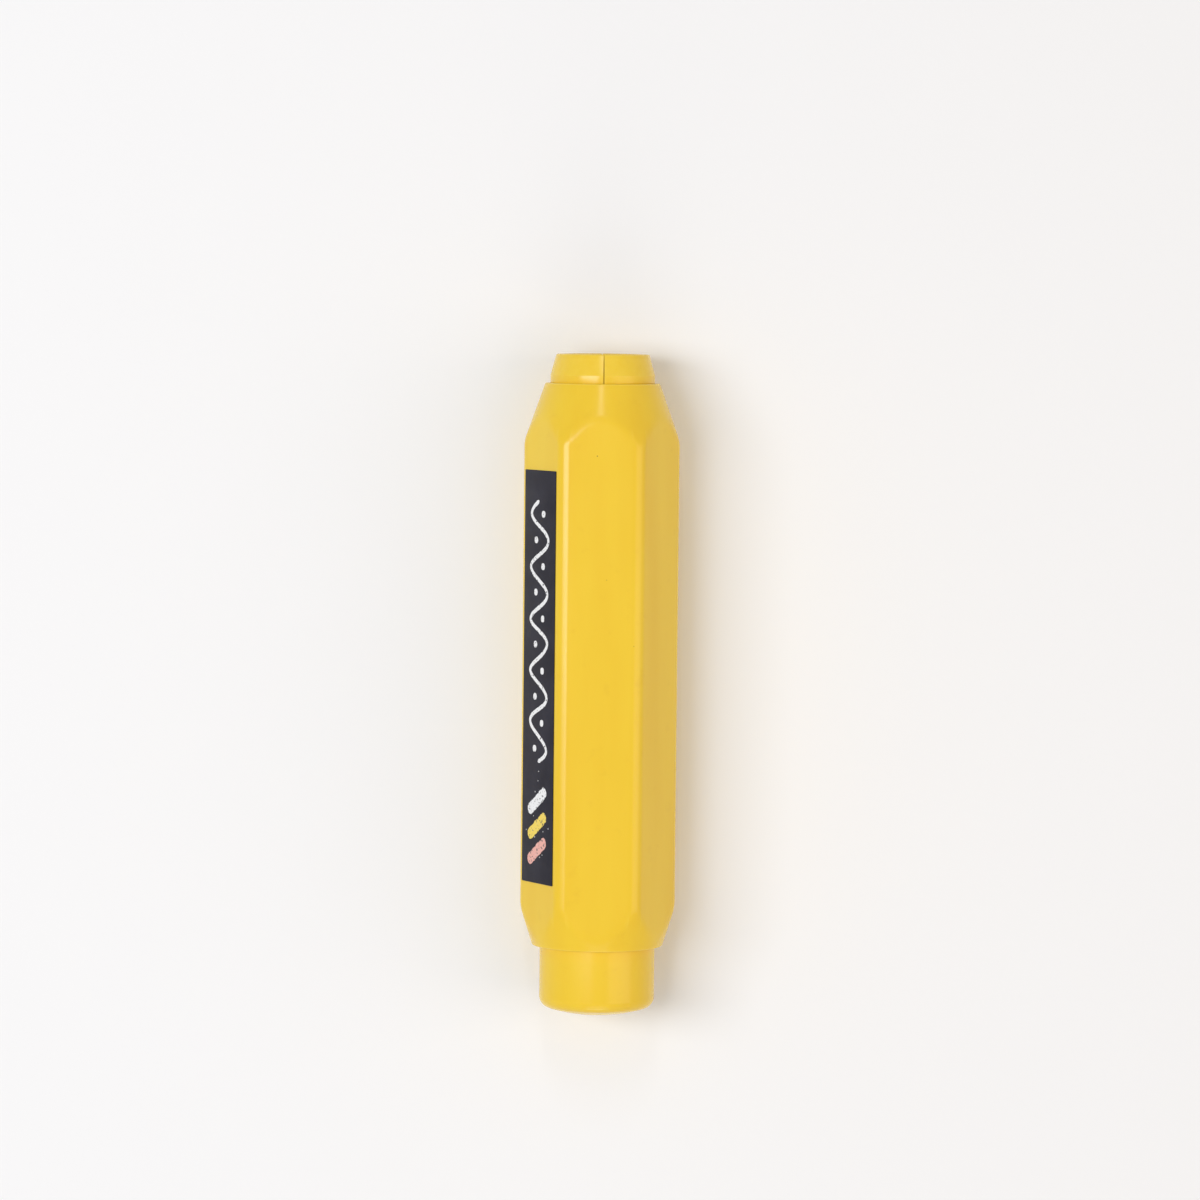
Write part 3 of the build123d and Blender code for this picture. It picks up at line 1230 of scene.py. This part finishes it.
@dataclass
class Plunger:
    """Push button, push tube and collet sleeve, which slide together."""

    datum: Datum
    fits: Fits
    button_front: float = 16.0 * MM
    button_chamfer: float = 0.2 * MM
    button_round: float = 1.7 * MM
    dome_rise: float = 1.5 * MM
    dome_steps: int = 14
    button_floor: float = 1.9 * MM
    sleeve_rear: float = 56.3 * MM
    sleeve_front: float = 62.3 * MM
    lap: float = 8.0 * MM
    bead: float = 0.2 * MM
    bead_setback: float = 3.0 * MM
    soft: float = 0.12 * MM
    tail_end: float = field(init=False)
    floor: float = field(init=False)
    lap_start: float = field(init=False)
    bead_station: float = field(init=False)

    def __post_init__(self) -> None:
        """Reads the end of the button from the frame, and works out the stations inside."""
        self.tail_end = self.datum.ends("push_button")[0]
        self.floor = self.tail_end + self.dome_rise + self.button_floor
        self.lap_start = self.sleeve_rear - self.lap
        self.bead_station = self.lap_start + self.bead_setback

    def build(self, finish: Material) -> None:
        """Makes the three pieces.

        Args:
            finish: the plastic.
        """
        outlines = {
            "push_button": self.button(),
            "push_tube": self.tube(),
            "collet_sleeve": self.sleeve(),
        }
        for node, outline in outlines.items():
            piece = MeshBench.turned(f"{node}_turned", self.datum, outline)
            settle(piece, finish, Body.PLUNGER.value, Slot.PLASTIC, node)

    def button(self) -> Outline:
        """Domed cup with a socket for the tube.

        Returns:
            Its outline.
        """
        socket = self.fits.tube + self.fits.fit_gap
        return Outline(
            *self.dome(),
            Corner(self.fits.button, self.button_front, self.button_chamfer),
            Corner(socket, self.button_front, self.soft),
            Corner(socket, self.floor),
            Corner(0.0, self.floor),
        )

    def dome(self) -> list[Corner]:
        """The button's end: a spherical cap run into the cylinder by a round edge.

        Returns:
            Points from the apex to the cylinder.
        """
        radius = self.fits.button
        sphere = (radius**2 + self.dome_rise**2) / (2 * self.dome_rise)
        middle = self.tail_end + sphere
        waist = radius - self.button_round
        depth = math.sqrt((sphere - self.button_round) ** 2 - waist**2)
        meeting = math.atan2(waist, depth)
        points = []
        for angle in spread(0.0, meeting, self.dome_steps):
            points.append(Corner(sphere * math.sin(angle), middle - sphere * math.cos(angle)))
        for angle in spread(meeting, QUARTER - meeting, self.dome_steps, closed=True):
            reach = waist + self.button_round * math.sin(angle)
            points.append(Corner(reach, middle - depth - self.button_round * math.cos(angle)))
        return points

    def tube(self) -> Outline:
        """Chalk tube with a lapped front end and a groove for the bead.

        Returns:
            Its outline.
        """
        fits = self.fits
        lap_radius = fits.spigot + fits.fit_gap
        lap_end = self.lap_start - fits.fit_gap
        reach = self.bead + fits.fit_gap
        return Outline(
            Corner(fits.chalk_bore, self.floor),
            Corner(fits.tube, self.floor),
            Corner(fits.tube, self.sleeve_rear, self.soft),
            Corner(lap_radius, self.sleeve_rear, self.soft),
            Corner(lap_radius, self.bead_station + reach),
            Corner(lap_radius + self.bead, self.bead_station),
            Corner(lap_radius, self.bead_station - reach),
            Corner(lap_radius, lap_end),
            Corner(fits.chalk_bore, lap_end),
        )

    def sleeve(self) -> Outline:
        """Guide land with a spigot and its bead.

        Returns:
            Its outline.
        """
        fits = self.fits
        return Outline(
            Corner(fits.chalk_bore, self.lap_start, self.soft),
            Corner(fits.spigot, self.lap_start, self.soft),
            Corner(fits.spigot, self.bead_station - self.bead),
            Corner(fits.spigot + self.bead, self.bead_station),
            Corner(fits.spigot, self.bead_station + self.bead),
            Corner(fits.spigot, self.sleeve_rear),
            Corner(fits.sleeve, self.sleeve_rear, self.soft),
            Corner(fits.sleeve, self.sleeve_front),
            Corner(fits.chalk_bore, self.sleeve_front),
        )


@dataclass
class Collet:
    """Four jaws on thin leaves, parted by two crossing slits."""

    datum: Datum
    fits: Fits
    jaws: int = 4
    slit: float = 0.12 * MM
    slit_turn: float = math.radians(1.5)
    leaf: float = 6.3 * MM
    land_length: float = 1.2 * MM
    tip_taper: float = math.radians(15.5)
    grip: float = 4.7 * MM
    grip_length: float = 8.8 * MM
    lead_in: float = 1.0 * MM
    grooves: int = 5
    groove_pitch: float = 1.4 * MM
    groove_width: float = 0.6 * MM
    groove_depth: float = 0.35 * MM
    tip_round: float = 0.3 * MM
    edge: float = 0.03 * MM
    facets: int = 28
    front: float = field(init=False)
    root: float = field(init=False)
    rim: float = field(init=False)

    def __post_init__(self) -> None:
        """Reads the jaws' two ends and the barrel's nose rim from the frame."""
        self.root, self.front = self.datum.ends("collet_jaw_1")
        self.rim = self.datum.ends("barrel")[1]

    def outline(self) -> Outline:
        """Section of one jaw: leaf, cone, land and tip outside, teeth and lead-in inside.

        Returns:
            The section.
        """
        land = self.fits.mouth - self.fits.seat_gap
        tip = land - (self.front - self.rim - self.land_length) * math.tan(self.tip_taper)
        cone_start = self.rim - (land - self.leaf) / math.tan(self.fits.seat_angle)
        grip_start = self.front - self.lead_in
        grip_end = grip_start - self.grip_length
        spare = self.grip_length - (self.grooves - 1) * self.groove_pitch - self.groove_width
        corners = [
            Corner(self.fits.chalk_bore, self.root),
            Corner(self.leaf, self.root),
            Corner(self.leaf, cone_start),
            Corner(land, self.rim),
            Corner(land, self.rim + self.land_length, self.tip_round),
            Corner(tip, self.front, self.tip_round),
            Corner(self.grip + self.lead_in, self.front, self.tip_round / 2),
            Corner(self.grip, grip_start, self.tip_round / 2),
        ]
        for number in range(self.grooves):
            top = grip_start - spare / 2 - number * self.groove_pitch
            corners += [
                Corner(self.grip, top),
                Corner(self.grip + self.groove_depth, top),
                Corner(self.grip + self.groove_depth, top - self.groove_width),
                Corner(self.grip, top - self.groove_width),
            ]
        ramp = self.fits.chalk_bore - self.grip
        corners += [Corner(self.grip, grip_end), Corner(self.fits.chalk_bore, grip_end - ramp)]
        return Outline(*corners)

    def build(self, finish: Material) -> None:
        """Makes the jaws, each between two flat slit faces.

        Args:
            finish: the plastic.
        """
        section = self.outline().points()
        sector = TAU / self.jaws
        for number in range(self.jaws):
            node = f"collet_jaw_{number + 1}"
            start = QUARTER - self.slit_turn - sector * number
            rings = []
            for facet in range(self.facets + 1):
                ring = []
                for radius, station in section:
                    inset = math.asin(self.slit / 2 / radius)
                    angle = start + inset + (sector - 2 * inset) * facet / self.facets
                    ring.append(self.datum.point(radius, angle, station))
                rings.append(ring)
            jaw = MeshBench.from_rings(f"{node}_turned", rings, closed=False, caps=True)
            MeshBench.bevel(jaw, self.edge)
            settle(jaw, finish, f"jaw_{number + 1}", Slot.PLASTIC, node)


@dataclass
class ReturnSpring:
    """Compression spring round the push tube, built at its resting length."""

    datum: Datum
    mean_radius: float = 7.25 * MM
    wire: float = 1.0 * MM
    end_pitch: float = 1.5 * MM
    end_turns: int = 1
    active_turns: int = 9
    steps: int = 48
    ease_steps: int = 12
    wire_sides: int = 16
    rear: float = field(init=False)
    front: float = field(init=False)

    def __post_init__(self) -> None:
        """Reads the spring's two ends from the frame."""
        self.rear, self.front = self.datum.ends("return_spring")

    def climb(self) -> list[float]:
        """Stations of the wire's centre, with the pitch eased at the end turns.

        Returns:
            The stations step by step.
        """
        turns = self.active_turns + 2 * self.end_turns
        count = turns * self.steps
        run = self.front - self.rear - self.wire
        active = (run - 2 * self.end_turns * self.end_pitch) / self.active_turns
        pitch = []
        for step in range(count):
            from_end = min(step, count - 1 - step) - self.end_turns * self.steps
            share = smooth(from_end / self.ease_steps + 0.5)
            pitch.append(self.end_pitch + (active - self.end_pitch) * share)
        scale = run * self.steps / sum(pitch)
        stations = [self.rear + self.wire / 2]
        for value in pitch:
            stations.append(stations[-1] + value * scale / self.steps)
        return stations

    def build(self, finish: Material, travel: float) -> None:
        """Makes the wire.

        Args:
            finish: the steel.
            travel: not used.
        """
        stations = self.climb()
        rings = []
        for step, station in enumerate(stations):
            angle = QUARTER - TAU * step / self.steps
            centre = self.datum.point(self.mean_radius, angle, station)
            outward = (centre - self.datum.point(0.0, 0.0, station)).normalized()
            behind = stations[max(step - 1, 0)]
            ahead = stations[min(step + 1, len(stations) - 1)]
            tangent = Vector((math.sin(angle), 0.0, -math.cos(angle))) * self.mean_radius * TAU / self.steps
            tangent.y = (ahead - behind) / 2
            rise = tangent.normalized().cross(outward)
            ring = []
            for turn in spread(0.0, TAU, self.wire_sides):
                ring.append(centre + (outward * math.cos(turn) + rise * math.sin(turn)) * self.wire / 2)
            rings.append(ring)
        spring = MeshBench.from_rings("return_spring_wire", rings, closed=False, caps=True)
        settle(spring, finish, Body.BARREL.value, Slot.STEEL, "return_spring")
        tuple(self.datum.point(0.0, 0.0, self.front))
        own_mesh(spring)


@dataclass(frozen=True)
class SoftBox:
    """One rectangular lamp."""

    name: str
    place: Triple
    size: Pair
    power: float
    colour: Colour = (1.0, 1.0, 1.0)

    def build(self, aim: Vector) -> None:
        """Hangs the lamp and turns it to the object.

        Args:
            aim: the point that it faces.
        """
        lamp = bpy.data.lights.new(self.name, "AREA")
        lamp.shape = "RECTANGLE"
        lamp.size, lamp.size_y = self.size
        lamp.energy = self.power
        lamp.color = self.colour
        holder = hang(self.name, lamp)
        holder.location = self.place
        holder.rotation_euler = (aim - Vector(self.place)).to_track_quat("-Z", "Y").to_euler()


@dataclass(frozen=True)
class Studio:
    """Pale floor, soft lamps and an even pale room."""

    floor_colour: Colour = (0.895, 0.905, 0.93)
    floor_traits: Traits = (("Specular IOR Level", 0.2),)
    floor_sheen: Mottle = Mottle(60.0, 3.0, NOISE_SWING)
    floor_gloss: Pair = (0.75, 0.9)
    floor_size: float = 6.0
    floor_drop: float = 0.02 * MM
    room_colour: Colour = (1.0, 1.0, 1.0)
    room: float = 0.42
    backdrop: float = 0.96
    lamps: tuple[SoftBox, ...] = (
        SoftBox("key", (-0.47, 0.08, 0.88), (0.30, 0.70), 4.8, (0.98, 0.99, 1.0)),
        SoftBox("fill", (0.75, -0.05, 0.70), (0.50, 0.90), 2.5, (1.0, 0.79, 0.55)),
        SoftBox("nose_strip", (-0.035, 0.64, 0.79), (0.06, 0.30), 0.5),
        SoftBox("tail_card", (0.0, -0.72, 0.55), (0.50, 0.40), 0.6),
        SoftBox("tail_strip", (0.0, -0.74, 0.20), (0.36, 0.12), 0.40),
    )

    def build(self, aim: Vector) -> None:
        """Lays the floor, lights the room and sets the view.

        Args:
            aim: the point that the lamps face.
        """
        self.floor()
        for lamp in self.lamps:
            lamp.build(aim)
        self.world()
        bpy.context.scene.view_settings.view_transform = "Standard"

    def floor(self) -> None:
        """Lays a wide sheet under the holder."""
        half = self.floor_size / 2
        level = -self.floor_drop
        corners = [(-half, -half, level), (half, -half, level), (half, half, level), (-half, half, level)]
        mesh = bpy.data.meshes.new("floor")
        mesh.from_pydata(corners, [], [tuple(range(len(corners)))])
        graph = ShaderGraph("floor_paper")
        graph.shader.inputs["Base Color"].default_value = (*self.floor_colour, 1.0)
        graph.adjust(self.floor_traits)
        graph.feed("Roughness", graph.mottle(self.floor_sheen, *self.floor_gloss))
        mesh.materials.append(graph.material)
        sheet = hang("floor", mesh)

    def world(self) -> None:
        """Lights the room evenly, with a pale backdrop for what the camera and reflections see."""
        world = bpy.data.worlds.new("room")
        bpy.context.scene.world = world
        world.use_nodes = True
        graph = NodeGraph(world.node_tree)
        rays = graph.add("LightPath", {}).outputs
        seen = rays["Is Camera Ray"]
        for ray in ("Is Glossy Ray", "Is Transmission Ray"):
            seen = graph.add("Math", {0: seen, 1: rays[ray]}, operation="MAXIMUM").outputs[0]
        levels = {"Value": seen, "To Min": self.room, "To Max": self.backdrop}
        strength = graph.add("MapRange", levels).outputs["Result"]
        sky = graph.add("Background", {"Color": (*self.room_colour, 1.0), "Strength": strength})
        graph.add("OutputWorld", {"Surface": sky.outputs["Background"]})


@dataclass(frozen=True)
class PhotoCamera:
    """Camera over the holder, set as the photograph was taken."""

    height: float = 0.788
    towards_nose: float = 0.0595
    towards_right: float = 0.004
    aim_ahead: float = 0.01264
    aim_aside: float = -0.00008
    roll: float = math.radians(0.585)
    pixels_per_metre: float = 6750.0
    frame_pixels: float = 1200.0
    sensor: float = 36.0

    def build(self, datum: Datum) -> None:
        """Sets the camera up and makes it the scene's own.

        Args:
            datum: the holder's axis.
        """
        aim = Vector((self.aim_aside, self.aim_ahead, datum.axis_height))
        place = Vector((self.towards_right, self.towards_nose, datum.axis_height + self.height))
        back = (place - aim).normalized()
        right = Vector((0.0, 1.0, 0.0)).cross(back).normalized()
        up = back.cross(right)
        turned_right = right * math.cos(self.roll) + up * math.sin(self.roll)
        turned_up = up * math.cos(self.roll) - right * math.sin(self.roll)
        axes = Matrix((turned_right, turned_up, back)).transposed().to_4x4()
        lens = bpy.data.cameras.new("photo_camera")
        lens.sensor_width = self.sensor
        lens.lens = (place - aim).length * self.pixels_per_metre / self.frame_pixels * self.sensor
        camera = hang("photo_camera", lens)
        camera.matrix_world = Matrix.Translation(place) @ axes
        bpy.context.scene.camera = camera


def joint_travel(name: str) -> float:
    """Looks up how far a sliding joint goes.

    Args:
        name: the joint's name.

    Returns:
        The length of its travel.
    """
    joint = next(joint for joint in frame["joints"] if joint["name"] == name)
    low, high = joint["range_m"]
    return high - low


def main() -> None:
    """Builds the holder piece by piece, then the studio, and the camera ahead of both."""
    logging.basicConfig(level=logging.INFO, format="%(message)s")
    datum = Datum.from_frame()
    fits = Fits()
    PhotoCamera().build(datum)
    plastic = MouldedPlastic().material()
    barrel = Barrel(datum, fits)
    barrel.build(plastic)
    MagnetBacking().build(MagnetRubber().material(), FoamTape().material())
    inks = {}
    for ink, colour in INK_COLOURS.items():
        inks[ink] = ChalkInk(f"chalk_{ink.value}", tinge=colour).material()
    Label(datum, barrel.flat_radius, barrel.facet_width).build(BlackFilm().material(), inks)
    Plunger(datum, fits).build(plastic)
    Collet(datum, fits).build(plastic)
    ReturnSpring(datum).build(SpringSteel().material(), joint_travel("button_press"))
    Studio().build(Vector((0.0, 0.0, datum.axis_height)))


if __name__ == "__main__":
    main()
